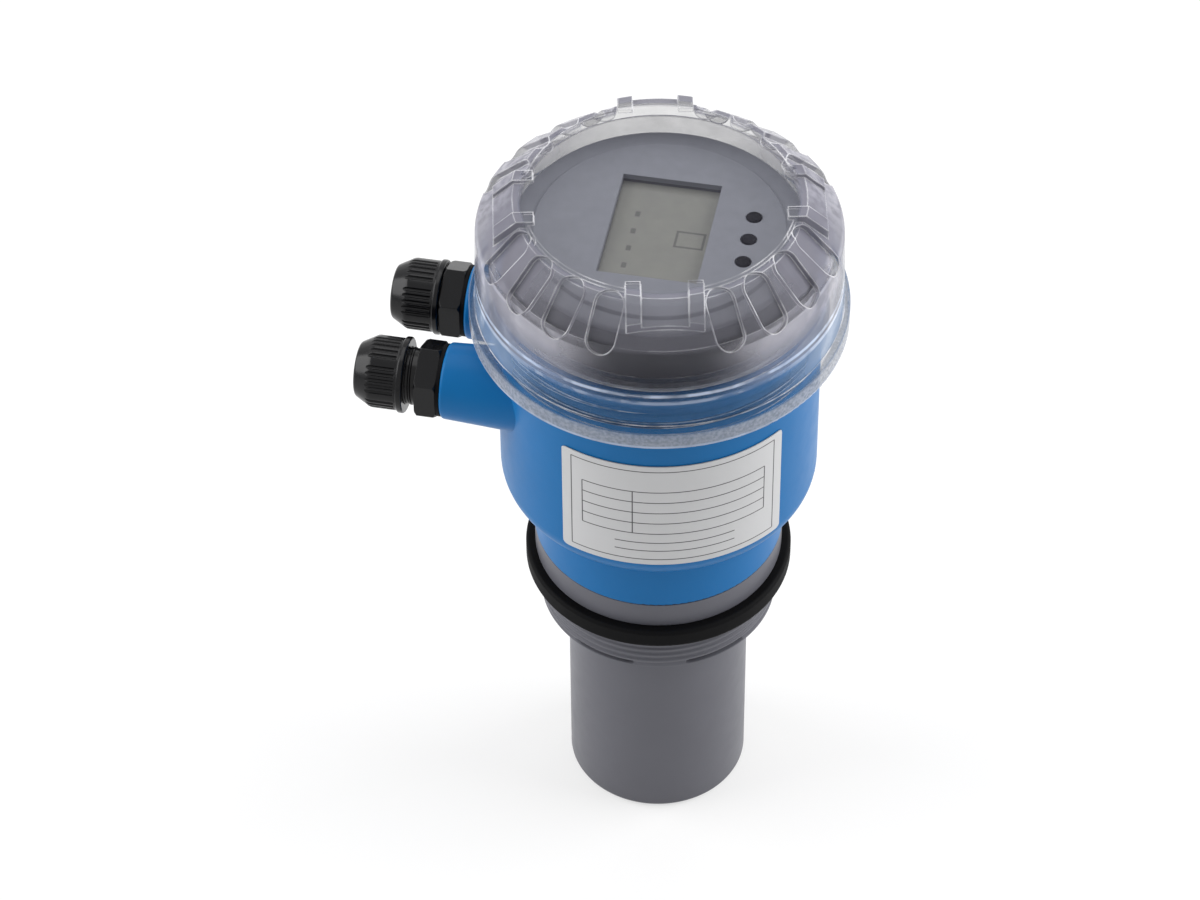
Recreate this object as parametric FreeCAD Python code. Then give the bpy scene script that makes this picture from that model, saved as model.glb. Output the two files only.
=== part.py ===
import FreeCAD, Part
import math
import os

V = FreeCAD.Vector
ORIGIN = V(0, 0, 0)
UP = V(0, 0, 1)

# All sizes in millimetres. The object stands upright on its radiating face, which is the plane z = 0; the two
# cable entries point to -X. Everything above the probe follows from the drum's diameter outwards and inwards.

# Sensor body
tube_d = 46.0
tube_h = 63.0
tube_edge = 1.6
thread_d = 60.0
thread_h = 12.0
thread_lead = 0.6
relief_depth = 1.5
gasket_lip = 3.7
gasket_t = 5.4
gasket_edge = 1.0
collar_lip = 1.3
collar_h = 7.6
collar_edge = 0.5
probe_wall = 3.4
face_wall = 2.6
spigot_h = 16.0
spigot_edge = 0.8
oring_groove_w = 3.2
oring_groove_depth = 2.0

# Transducer stack in the tube
layer_t = 3.0
disc_d = 30.6
disc_t = 4.0
pad_h = 26.0
lead_d = 2.6
lead_x = 5.9

# Housing
foot_d = 62.8
foot_h = 24.2
foot_wall = 4.0
foot_edge = 0.5
shoulder_root = 0.6
shoulder_flat = 0.2
drum_d = 78.8
drum_h = 46.8
drum_wall = 3.0
neck_inset = 0.6
neck_h = 10.8
neck_edge = 0.8
floor_drop = 4.2
ledge_w = 2.0
ledge_drop = 1.0

# Clear cap
cap_h = 38.5
cap_skirt = 0.5
thread_room = 2.1
cap_wall = 3.0
wall_draft = 0.8
ceiling_edge = 2.0
flange_lip = 2.1
flange_h = 6.5
flange_edge = 0.9
rim_w = 11.1
window_rise = 0.8
window_edge = 0.4
shoulder_w = 9.4
shoulder_drop = 9.0
shoulder_edge = 2.0
lug_w = 18.2
lug_rib_w = 3.6
lug_rib_h = 1.0
lug_over_window = 3.0
lug_over_shoulder = 4.9
pocket_w = 7.0
pocket_depth = 1.5
pocket_len = 15.2
pocket_first = 21.0
pocket_turn = 16.0
cap_clock = 12.5
lip_h = 2.0
seal_t = 1.2
seal_w = 1.4

# Display
face_gap = 6.4
face_d = 60.0
face_rise = 0.8
face_bevel = 0.6
face_edge = 0.3
case_wall = 2.0
case_edge = 1.4
case_pillar_d = 5.2
case_pillar_inset = 4.2
plate_t = 2.2
lcd_x = 24.0
lcd_y = 34.4
lcd_edge = 1.4
lcd_t = 4.0
button_d = 3.4
button_x = 21.4
button_pitch = 7.8
button_proud = 0.5
button_edge = 0.4
button_travel = 0.35
button_flange_w = 0.9
button_flange_t = 0.9
key_w = 5.0
key_cap_d = 2.4
key_cap_h = 0.6
board_t = 1.6

# Cable entries and glands
entry_drop = 18.5
entry_pitch = 28.4
boss_len = 10.8
boss_bury = 7.0
boss_d = 18.8
boss_draft = 1.2
boss_edge = 0.9
gland_thread_d = 15.2
gland_thread_h = 9.0
washer_t = 1.0
washer_inset = 0.4
hex_af = 17.0
hex_h = 5.3
hex_chamfer = 0.6
neck_thread_d = 13.8
neck_thread_h = 6.6
claw_d = 12.6
claw_h = 2.0
claw_slot_w = 1.2
cable_d = 6.4
insert_wall = 1.9
insert_h = 9.8
nut_d = 17.9
nut_collar_d = 18.9
nut_collar_h = 1.6
nut_collar_edge = 0.5
nut_h = 12.6
nut_tip_d = 13.2
nut_tip_bore_d = 8.4
nut_tip_t = 2.2
nut_tip_edge = 1.2
nut_cone_h = 2.6
nut_dome = 4.2
nut_dome_edge = 2.2
nut_groove_d = 1.0
nut_groove_turn = 10.0
nut_lands = 6
nut_grooves_between = 5
nut_tight = 0.3
nut_backed_off = 2.7

# Main board and wiring
pillar_h = 18.0
pillar_d = 6.2
pillar_bite = 4.0
terminal_x = 11.0
terminal_y = 36.0
terminal_h = 10.0
terminal_offset = 11.5
terminal_count = 6
clamp_d = 3.7
clamp_depth = 1.6
clamp_below = 0.3
clamp_slot_w = 0.7
clamp_slot_depth = 0.6
way_w = 3.6
way_h = 4.0
way_depth = 3.3
way_rise = 1.4
ribbon_x = 22.7
ribbon_t = 0.8
ribbon_w = 12.0
screw_d = 2.2
screw_head_d = 5.0
screw_head_h = 1.8

# Nameplate
plate_w = 53.0
plate_h = 34.0
plate_corner = 1.2
plate_film = 0.25
plate_turn = 16.5

# Clearances, and how far a cutting or joining body runs past its face
fit = 0.3
slip = 0.6
skin = 0.1
over = 1.0

# Heights of the main planes
z_thread = tube_h
z_gasket = z_thread + thread_h
z_collar = z_gasket + gasket_t
z_foot = z_collar + collar_h
z_drum = z_foot + foot_h
z_floor = z_drum - floor_drop
z_board = z_floor + pillar_h
z_neck = z_drum + drum_h
z_entry = z_neck - entry_drop
z_ledge = z_neck - ledge_drop
z_neck_top = z_neck + neck_h
z_lip = z_neck_top + seal_t
z_cap = z_neck - cap_skirt
z_flange = z_cap + flange_h
z_window = z_cap + cap_h
z_ring = z_window - window_rise
z_shoulder = z_ring - shoulder_drop
z_ceiling = z_ring - cap_wall
z_face = z_ceiling - face_gap
z_under = z_face - plate_t
z_display = z_under - lcd_t

# Radii that follow from them
tube_r = tube_d / 2
thread_r = thread_d / 2
gasket_r = thread_r + gasket_lip
collar_r = thread_r + collar_lip
relief_r = thread_r - relief_depth
foot_r = foot_d / 2
bore_r = foot_r - foot_wall
spigot_r = bore_r - fit
oring_groove_r = spigot_r - oring_groove_depth
probe_bore_r = tube_r - probe_wall
drum_r = drum_d / 2
mouth_r = drum_r - drum_wall
cavity_r = mouth_r - ledge_w
neck_r = drum_r - neck_inset
seal_r = neck_r - neck_edge
cap_bore_r = neck_r + thread_room
wall_r = cap_bore_r + cap_wall
flange_r = wall_r + flange_lip
window_r = wall_r - rim_w
slope = math.atan2(shoulder_drop, shoulder_w)
case_r = mouth_r - slip
face_r = face_d / 2
boss_reach = drum_r + boss_len
cable_r = cable_d / 2
insert_r = cable_r + insert_wall


def outline(points):
    """Closed wire in the XZ plane through (r, z) or (r, z, corner radius) points."""
    flat = [V(p[0], 0, p[1]) for p in points]
    radii = [p[2] if len(p) > 2 else 0.0 for p in points]
    starts, ends, arcs = [], [], []
    for i, corner in enumerate(flat):
        if radii[i] <= 0:
            starts.append(corner)
            ends.append(corner)
            arcs.append(None)
            continue
        back = (flat[i - 1] - corner).normalize()
        ahead = (flat[(i + 1) % len(flat)] - corner).normalize()
        half = back.getAngle(ahead) / 2
        run = radii[i] / math.tan(half)
        inward = (back + ahead).normalize()
        middle = corner + inward * (radii[i] / math.sin(half) - radii[i])
        starts.append(corner + back * run)
        ends.append(corner + ahead * run)
        arcs.append(Part.Arc(starts[i], middle, ends[i]).toShape())
    edges = []
    for i in range(len(flat)):
        if arcs[i]:
            edges.append(arcs[i])
        following = starts[(i + 1) % len(flat)]
        if ends[i].distanceToPoint(following) > 1e-6:
            edges.append(Part.makeLine(ends[i], following))
    return Part.Wire(edges)


def turned(points):
    """Solid of revolution about Z."""
    return Part.Face(outline(points)).revolve(ORIGIN, UP, 360)


def rod(radius, z0, z1, x=0.0, y=0.0):
    """Upright cylinder."""
    return Part.makeCylinder(radius, z1 - z0, V(x, y, z0))


def ring(outer, inner, z0, z1):
    """Flat ring about Z."""
    return turned([(inner, z0), (outer, z0), (outer, z1), (inner, z1)])


def block(x0, x1, y0, y1, z0, z1):
    """Axis-aligned box between two corners."""
    return Part.makeBox(x1 - x0, y1 - y0, z1 - z0, V(x0, y0, z0))


def spun(shape, angle):
    """Copy turned about Z by an angle in degrees."""
    copy = shape.copy()
    copy.rotate(ORIGIN, UP, angle)
    return copy


def polar(radius, angle):
    """Plan position at a radius and an angle in degrees."""
    a = math.radians(angle)
    return radius * math.cos(a), radius * math.sin(a)


def capsule(length, width):
    """Face with two round ends in the XY plane, long way along X, centred on the origin."""
    r = width / 2
    h = length / 2 - r
    edges = [
        Part.makeLine(V(-h, -r, 0), V(h, -r, 0)),
        Part.Arc(V(h, -r, 0), V(h + r, 0, 0), V(h, r, 0)).toShape(),
        Part.makeLine(V(h, r, 0), V(-h, r, 0)),
        Part.Arc(V(-h, r, 0), V(-h - r, 0, 0), V(-h, -r, 0)).toShape(),
    ]
    return Part.Face(Part.Wire(edges))


def at_entry(shape, side):
    """Carry a shape built along Z from a boss's end face to its cable entry (side -1 front, +1 rear)."""
    copy = shape.copy()
    copy.rotate(ORIGIN, V(0, 1, 0), -90)
    copy.translate(V(-boss_reach, side * entry_pitch / 2, z_entry))
    return copy


# Places of the board screws in the drum, of the screws behind the display and of the buttons
board_spots = [polar((bore_r + cavity_r) / 2, a) for a in (0, 120, 240)]
case_spots = [polar(case_r - case_wall - case_pillar_inset, a) for a in (90, 210, 330)]
button_spots = [(button_x, button_pitch * k) for k in (-1, 0, 1)]


def make_sensor_body():
    """Grey moulding: closed tube, M60 section with its relief, collar and the spigot that enters the housing."""
    z_top = z_foot + spigot_h
    z_low = z_foot + (spigot_h - oring_groove_w) / 2
    z_high = z_low + oring_groove_w
    body = turned([
        (0, 0), (tube_r, 0, tube_edge), (tube_r, z_thread), (thread_r - thread_lead, z_thread),
        (thread_r, z_thread + thread_lead), (thread_r, z_gasket), (relief_r, z_gasket), (relief_r, z_collar),
        (collar_r, z_collar, collar_edge), (collar_r, z_foot), (spigot_r, z_foot), (spigot_r, z_low),
        (oring_groove_r, z_low), (oring_groove_r, z_high), (spigot_r, z_high), (spigot_r, z_top, spigot_edge),
        (0, z_top),
    ])
    return body.cut(rod(probe_bore_r, face_wall, z_top + over))


def make_gasket():
    """Rubber ring slipped over the M60 section into its relief, against the collar."""
    return turned([
        (thread_r + fit, z_gasket), (gasket_r, z_gasket, gasket_edge), (gasket_r, z_collar, gasket_edge),
        (thread_r + fit, z_collar),
    ])


def make_probe_seal():
    """O-ring in the spigot's groove, filling it out to the housing's bore."""
    minor = (bore_r - oring_groove_r) / 2 - skin
    return Part.makeTorus((bore_r + oring_groove_r) / 2, minor, V(0, 0, z_foot + spigot_h / 2))


def make_stack():
    """Transducer behind the radiating face: matching layer, ceramic disc, backing pad and the lead."""
    z_disc = face_wall + layer_t
    z_pad = z_disc + disc_t
    z_top = z_pad + pad_h
    layer = rod(probe_bore_r - slip, face_wall, z_disc)
    disc = rod(disc_d / 2, z_disc, z_pad)
    pad = rod(probe_bore_r - slip, z_pad, z_top)
    pad = pad.cut(rod(lead_d / 2 + fit, z_pad - over, z_top + over, lead_x))
    lead = rod(lead_d / 2, z_pad, z_board, lead_x)
    return layer, disc, pad, lead


def make_housing():
    """Blue body: foot, rounded shoulder, drum, neck, two drafted bosses and the board pillars."""
    bend = drum_r - foot_r - shoulder_root - shoulder_flat
    z_bend = z_drum - bend
    body = turned([
        (0, z_foot), (foot_r, z_foot, foot_edge), (foot_r, z_bend, shoulder_root), (drum_r, z_bend, bend),
        (drum_r, z_neck), (neck_r, z_neck), (neck_r, z_neck_top, neck_edge), (0, z_neck_top),
    ])
    depth = boss_reach - cavity_r + boss_bury
    boss = turned([
        (0, -depth), (boss_d / 2 + boss_draft, -depth), (boss_d / 2, 0, boss_edge), (0, 0),
    ])
    entry = rod(gland_thread_d / 2 + fit, -depth, over)
    for side in (-1, 1):
        body = body.fuse(at_entry(boss, side))
    body = body.cut(rod(bore_r, z_foot - over, z_floor + over))
    body = body.cut(rod(cavity_r, z_floor, z_ledge + over))
    body = body.cut(rod(mouth_r, z_ledge, z_neck_top + over))
    for side in (-1, 1):
        body = body.cut(at_entry(entry, side))
    for x, y in board_spots:
        body = body.fuse(rod(pillar_d / 2, z_floor - over, z_board, x, y))
    for x, y in board_spots:
        body = body.cut(rod(screw_d / 2 + fit, z_board - pillar_h + pillar_bite - over, z_board + over, x, y))
    return body.removeSplitter()


def shoulder_line(grow):
    """Lower and upper end (r, z) of the cap's sloped shoulder, moved outward by a distance (inward when negative)."""
    rise = grow * (1 - math.sin(slope)) / math.cos(slope)
    reach = grow * (1 - math.cos(slope)) / math.sin(slope)
    return (wall_r + grow, z_shoulder + rise), (wall_r - shoulder_w + reach, z_ring + grow)


def cap_skin(grow):
    """Outer form of the cap without flange and window, grown outward by a distance (inward when negative)."""
    low, top = shoulder_line(grow)
    return turned([
        (0, z_cap), (wall_r + wall_draft + grow, z_cap), (*low, shoulder_edge + grow), top, (0, z_ring + grow),
    ])


def make_pocket():
    """Cutting body of one finger pocket: a capsule square to the shoulder's slope, of even depth over both bends."""
    low, top = shoulder_line(0.0)
    prism = capsule(pocket_len, pocket_w).extrude(V(0, 0, 2 * pocket_w))
    prism.translate(V(0, 0, -pocket_w))
    prism.rotate(ORIGIN, V(0, 1, 0), math.degrees(slope))
    prism.translate(V((low[0] + top[0]) / 2, 0, (low[1] + top[1]) / 2))
    return prism.common(cap_skin(over).cut(cap_skin(-pocket_depth)))


def make_lug():
    """One lug: a plate level with the window that bends down the shoulder between two raised ribs."""
    x0 = window_r - lug_over_window
    x1 = wall_r - shoulder_w + lug_over_shoulder
    z_top = z_window + lug_rib_h + over
    half = lug_w / 2
    lug = block(x0, x1, -half, half, z_shoulder, z_top).common(cap_skin(window_rise))
    for y0 in (-half, half - lug_rib_w):
        rib = block(x0, x1, y0, y0 + lug_rib_w, z_shoulder, z_top)
        lug = lug.fuse(rib.common(cap_skin(window_rise + lug_rib_h)))
    return lug


def make_cap():
    """Clear screw cap: window, sloped shoulder with four ribbed lugs and sixteen pockets, flange and sealing lip."""
    cap = cap_skin(0.0)
    cap = cap.fuse(turned([
        (0, z_cap), (flange_r, z_cap, flange_edge), (flange_r, z_flange, flange_edge), (0, z_flange),
    ]))
    cap = cap.fuse(turned([
        (0, z_ring - over), (window_r, z_ring - over), (window_r, z_ring), (window_r - window_edge, z_window),
        (0, z_window),
    ]))
    lug = make_lug()
    pocket = make_pocket()
    for quarter in (0, 90, 180, 270):
        cap = cap.fuse(spun(lug, quarter + cap_clock))
    for quarter in (0, 90, 180, 270):
        for k in range(4):
            cap = cap.cut(spun(pocket, quarter + cap_clock + pocket_first + pocket_turn * k))
    lip_r = seal_r - seal_w
    low, top = shoulder_line(-cap_wall)
    cap = cap.cut(turned([
        (0, z_cap - over), (cap_bore_r, z_cap - over), (cap_bore_r, z_lip), (lip_r, z_lip), (lip_r, z_lip + lip_h),
        (cap_bore_r, z_lip + lip_h), low, (*top, ceiling_edge), (0, z_ceiling),
    ]))
    return cap.removeSplitter()


def make_cap_seal():
    """Flat seal ring between the neck's top and the cap's lip."""
    return ring(seal_r, seal_r - seal_w, z_neck_top, z_lip)


def make_case():
    """Grey display cup with its raised face, panel window, button holes and screw pillars."""
    z_rim = z_face - face_rise
    case = turned([
        (0, z_ledge), (case_r, z_ledge), (case_r, z_rim, case_edge), (face_r + face_bevel, z_rim),
        (face_r, z_face, face_edge), (0, z_face),
    ])
    case = case.cut(rod(case_r - case_wall, z_ledge - over, z_under))
    hx = lcd_x / 2
    hy = lcd_y / 2
    case = case.cut(block(-hx, hx, -hy, hy, z_under - over, z_face + over))
    for x, y in button_spots:
        case = case.cut(rod(button_d / 2 + fit, z_under - over, z_face + over, x, y))
    for x, y in case_spots:
        case = case.fuse(rod(case_pillar_d / 2, z_display, z_under + plate_t / 2, x, y))
    for x, y in case_spots:
        case = case.cut(rod(screw_d / 2 + fit, z_display - over, z_under, x, y))
    return case.removeSplitter()


def make_display():
    """Panel, board with its key switches, board screws and the three buttons."""
    panel = block(-lcd_x / 2 - lcd_edge, lcd_x / 2 + lcd_edge, -lcd_y / 2 - lcd_edge, lcd_y / 2 + lcd_edge,
                  z_display, z_under)
    z_back = z_display - board_t
    board = rod(case_r - case_wall - slip, z_back, z_display)
    screws = []
    for x, y in case_spots:
        board = board.cut(rod(screw_d / 2 + fit, z_back - over, z_display + over, x, y))
        head = rod(screw_head_d / 2, z_back - screw_head_h, z_back, x, y)
        shank = rod(screw_d / 2, z_back - screw_head_h / 2, z_under - fit, x, y)
        screws.append(head.fuse(shank).removeSplitter())
    z_flange_top = z_under - skin
    z_flange_low = z_flange_top - button_flange_t
    z_key = z_flange_low - button_travel - skin
    key_half = key_w / 2
    flange = button_d / 2 + button_flange_w
    buttons = []
    for x, y in button_spots:
        board = board.fuse(block(x - key_half, x + key_half, y - key_half, y + key_half,
                                 z_display - board_t / 2, z_key - key_cap_h))
        board = board.fuse(rod(key_cap_d / 2, z_key - 2 * key_cap_h, z_key, x, y))
        button = turned([
            (0, z_flange_low), (flange, z_flange_low), (flange, z_flange_top), (button_d / 2, z_flange_top),
            (button_d / 2, z_face + button_proud, button_edge), (0, z_face + button_proud),
        ])
        button.translate(V(x, y, 0))
        buttons.append(button)
    return panel, board.removeSplitter(), Part.makeCompound(screws), buttons


def make_main_board():
    """Round board on the pillars with its screws."""
    z_top = z_board + board_t
    board = rod(cavity_r - slip, z_board, z_top)
    screws = []
    for x, y in board_spots:
        board = board.cut(rod(screw_d / 2 + fit, z_board - over, z_top + over, x, y))
        shank = rod(screw_d / 2, z_floor + pillar_bite, z_top + screw_head_h / 2, x, y)
        screws.append(rod(screw_head_d / 2, z_top, z_top + screw_head_h, x, y).fuse(shank).removeSplitter())
    return board, Part.makeCompound(screws)


def make_wiring():
    """Terminal block with its wire ways and slotted clamp screws, and the flat lead up to the display."""
    z_low = z_board + board_t
    z_top = z_low + terminal_h
    x1 = -terminal_offset
    x0 = x1 - terminal_x
    x = (x0 + x1) / 2
    terminals = block(x0, x1, -terminal_y / 2, terminal_y / 2, z_low, z_top)
    pitch = terminal_y / terminal_count
    clamps = []
    for k in range(terminal_count):
        y = (k + 0.5) * pitch - terminal_y / 2
        terminals = terminals.cut(rod(clamp_d / 2 + fit, z_top - clamp_depth, z_top + over, x, y))
        terminals = terminals.cut(block(x0 - over, x0 + way_depth, y - way_w / 2, y + way_w / 2,
                                        z_low + way_rise, z_low + way_rise + way_h))
        clamp = rod(clamp_d / 2, z_top - clamp_depth, z_top - clamp_below, x, y)
        slot = block(x - clamp_d, x + clamp_d, y - clamp_slot_w / 2, y + clamp_slot_w / 2,
                     z_top - clamp_below - clamp_slot_depth, z_top)
        clamps.append(clamp.cut(slot))
    ribbon = block(ribbon_x, ribbon_x + ribbon_t, -ribbon_w / 2, ribbon_w / 2, z_low, z_display - board_t)
    return terminals, Part.makeCompound(clamps), ribbon


def make_gland_body():
    """Hexagon with its lower thread, the nut's thread above it and six claw fingers round the insert."""
    z_hex = washer_t + hex_h
    z_claw = z_hex + neck_thread_h
    z_end = z_claw + claw_h
    corner_r = hex_af / math.sqrt(3)
    corners = [V(*polar(corner_r, 60 * k), washer_t) for k in range(7)]
    hexagon = Part.Face(Part.makePolygon(corners)).extrude(V(0, 0, hex_h))
    hexagon = hexagon.common(turned([
        (0, washer_t), (corner_r - hex_chamfer, washer_t), (corner_r, washer_t + hex_chamfer),
        (corner_r, z_hex - hex_chamfer), (corner_r - hex_chamfer, z_hex), (0, z_hex),
    ]))
    body = hexagon.fuse(rod(gland_thread_d / 2, -gland_thread_h, washer_t + hex_h / 2))
    body = body.fuse(turned([
        (0, z_hex - hex_h / 2), (neck_thread_d / 2, z_hex - hex_h / 2), (neck_thread_d / 2, z_claw),
        (claw_d / 2, z_claw), (claw_d / 2, z_end), (0, z_end),
    ]))
    body = body.cut(rod(cable_r + fit, -gland_thread_h - over, z_end + over))
    body = body.cut(rod(insert_r + fit, z_hex, z_end + over))
    slot = block(-claw_d, claw_d, -claw_slot_w / 2, claw_slot_w / 2, z_claw, z_end + over)
    for angle in (0, 60, 120):
        body = body.cut(spun(slot, angle))
    return body.removeSplitter()


def make_nut(z_nut):
    """Dome nut from a height on the gland's axis: collar, six smooth lands between groups of grooves, domed tip."""
    nut_r = nut_d / 2
    z_side = z_nut + nut_collar_h
    z_tip = z_nut + nut_h
    nut = turned([
        (0, z_nut), (nut_collar_d / 2, z_nut, nut_collar_edge), (nut_collar_d / 2, z_side, nut_collar_edge),
        (nut_r, z_side), (nut_r, z_tip - nut_dome, nut_dome_edge), (nut_tip_d / 2, z_tip, nut_tip_edge), (0, z_tip),
    ])
    middle = (nut_grooves_between - 1) / 2
    for land in range(nut_lands):
        for k in range(nut_grooves_between):
            angle = 360 / nut_lands * land + nut_groove_turn * (k - middle)
            nut = nut.cut(rod(nut_groove_d / 2, z_side + nut_groove_d / 2, z_tip, *polar(nut_r, angle)))
    z_stop = z_tip - nut_tip_t
    thread_bore_r = neck_thread_d / 2 + fit
    tip_bore_r = nut_tip_bore_d / 2
    return nut.cut(turned([
        (0, z_nut - over), (thread_bore_r, z_nut - over), (thread_bore_r, z_stop - nut_cone_h),
        (insert_r + fit, z_stop), (tip_bore_r, z_stop), (tip_bore_r, z_tip + over), (0, z_tip + over),
    ]))


def make_gland(side, back_off):
    """Washer, body, insert and dome nut of one cable gland, the nut backed off from the hexagon by a distance."""
    washer = ring(boss_d / 2 - washer_inset, gland_thread_d / 2 + fit, 0, washer_t)
    z_nut = washer_t + hex_h + nut_tight + back_off
    z_insert = z_nut + nut_h - nut_tip_t - skin
    insert = ring(insert_r, cable_r, z_insert - insert_h, z_insert)
    return [at_entry(shape, side) for shape in (washer, make_gland_body(), insert, make_nut(z_nut))]


def make_nameplate():
    """Bare curved label on the drum."""
    bed = drum_r + skin
    face = Part.Face(outline([
        (-plate_w / 2, z_drum, plate_corner), (plate_w / 2, z_drum, plate_corner),
        (plate_w / 2, z_drum + plate_h, plate_corner), (-plate_w / 2, z_drum + plate_h, plate_corner),
    ]))
    sheet = ring(bed + plate_film, bed, z_drum - over, z_drum + plate_h + over)
    return spun(sheet.common(face.extrude(V(0, -drum_d, 0))), plate_turn)


nodes = {
    "sensor_body": make_sensor_body(),
    "process_gasket": make_gasket(),
    "probe_seal": make_probe_seal(),
    "housing": make_housing(),
    "nameplate": make_nameplate(),
    "clear_cap": make_cap(),
    "cap_seal": make_cap_seal(),
    "display_case": make_case(),
}
stack_names = ("matching_layer", "piezo_disc", "backing_pad", "transducer_lead")
nodes.update(zip(stack_names, make_stack()))
panel, display_board, display_screws, buttons = make_display()
nodes["lcd_panel"] = panel
nodes["display_board"] = display_board
nodes["display_screws"] = display_screws
for number, button in enumerate(buttons, 1):
    nodes["button_%d" % number] = button
nodes.update(zip(("main_board", "board_screws"), make_main_board()))
nodes.update(zip(("terminal_block", "terminal_screws", "display_ribbon"), make_wiring()))
for side, name, back_off in ((-1, "front", nut_backed_off), (1, "rear", 0.0)):
    gland_names = ["gland_%s_%s" % (name, piece) for piece in ("washer", "body", "insert", "nut")]
    nodes.update(zip(gland_names, make_gland(side, back_off)))

os.makedirs("parts", exist_ok=True)
for name, shape in nodes.items():
    shape.exportStep("parts/%s.step" % name)
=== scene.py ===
"""Finishes, fine threads, light and camera for an ultrasonic level transmitter with a clear screw cap."""

import logging
import math
from dataclasses import dataclass, field
from enum import Enum
from typing import Any, Dict, Mapping, Optional, Sequence, Tuple, Union

import bmesh
import bpy
import numpy as np
from mathutils import Matrix, Vector


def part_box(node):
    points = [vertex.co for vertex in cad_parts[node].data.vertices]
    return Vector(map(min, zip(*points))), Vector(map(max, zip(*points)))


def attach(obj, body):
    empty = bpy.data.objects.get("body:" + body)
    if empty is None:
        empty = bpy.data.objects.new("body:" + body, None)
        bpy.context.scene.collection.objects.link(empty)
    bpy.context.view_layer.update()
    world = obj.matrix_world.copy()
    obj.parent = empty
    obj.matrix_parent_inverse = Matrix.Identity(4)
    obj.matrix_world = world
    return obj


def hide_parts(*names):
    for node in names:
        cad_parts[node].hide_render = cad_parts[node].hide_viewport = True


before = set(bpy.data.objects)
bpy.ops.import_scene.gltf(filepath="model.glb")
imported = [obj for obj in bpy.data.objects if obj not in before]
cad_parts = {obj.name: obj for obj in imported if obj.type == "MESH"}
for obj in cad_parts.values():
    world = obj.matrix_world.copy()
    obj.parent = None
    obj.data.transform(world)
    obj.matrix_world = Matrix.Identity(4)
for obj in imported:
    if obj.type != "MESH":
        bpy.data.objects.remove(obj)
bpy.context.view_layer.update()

LOG = logging.getLogger("level_transmitter")
MM = 0.001
BEVEL_SAMPLES = 6
ARC_POINTS = 7
MERGE_M = 1e-7
DEGENERATE_M = 1e-8
SHARP_DEG = 40.0

Colour = Tuple[float, float, float]
Operand = Union["Wire", float]
WHITE: Colour = (1.0, 1.0, 1.0)


class Wire:
    """One number or colour in a node tree; Python operators on it add Math nodes."""

    def __init__(self, tree: "ShaderTree", socket: bpy.types.NodeSocket) -> None:
        """Wrap an output socket of a tree."""
        self.tree = tree
        self.socket = socket

    def _math(self, operation: str, first: Operand, second: Operand = 0.0) -> "Wire":
        """Add a Math node.

        Args:
            operation: the node's operation, such as ADD.
            first: first operand.
            second: second operand.

        Returns:
            The node's result.
        """
        return self.tree.wire("ShaderNodeMath", {"operation": operation}, {0: first, 1: second})

    def __add__(self, other: Operand) -> "Wire":
        """Sum."""
        return self._math("ADD", self, other)

    def __sub__(self, other: Operand) -> "Wire":
        """Difference."""
        return self._math("SUBTRACT", self, other)

    def __rsub__(self, other: Operand) -> "Wire":
        """Difference with a number on the left."""
        return self._math("SUBTRACT", other, self)

    def __mul__(self, other: Operand) -> "Wire":
        """Product."""
        return self._math("MULTIPLY", self, other)

    def __abs__(self) -> "Wire":
        """Absolute value."""
        return self._math("ABSOLUTE", self)

    def root(self) -> "Wire":
        """Square root."""
        return self._math("SQRT", self)

    def larger(self, other: Operand) -> "Wire":
        """Larger of two values."""
        return self._math("MAXIMUM", self, other)

    def angle_from(self, other: "Wire") -> "Wire":
        """Angle in radians whose tangent is this value over the other."""
        return self._math("ARCTAN2", self, other)

    def above(self, level: float, soft: float) -> "Wire":
        """Mask that rises from 0 to 1 where the value passes a level.

        Args:
            level: value at which the mask is one half.
            soft: width of the rise.

        Returns:
            The mask, from 0 to 1.
        """
        sockets = {"Value": self, "From Min": level - soft / 2, "From Max": level + soft / 2}
        return self.tree.wire("ShaderNodeMapRange", {"interpolation_type": "SMOOTHSTEP"}, sockets)

    def within(self, half_width: float, soft: float) -> "Wire":
        """Mask that is 1 where the value is nearer to zero than a half width, with a soft fall there."""
        return 1.0 - abs(self).above(half_width, soft)


class Detail(Enum):
    """How many finer octaves a noise has."""

    NONE = 0.0
    LITTLE = 2.0
    FINE = 3.0
    RICH = 4.0


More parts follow.
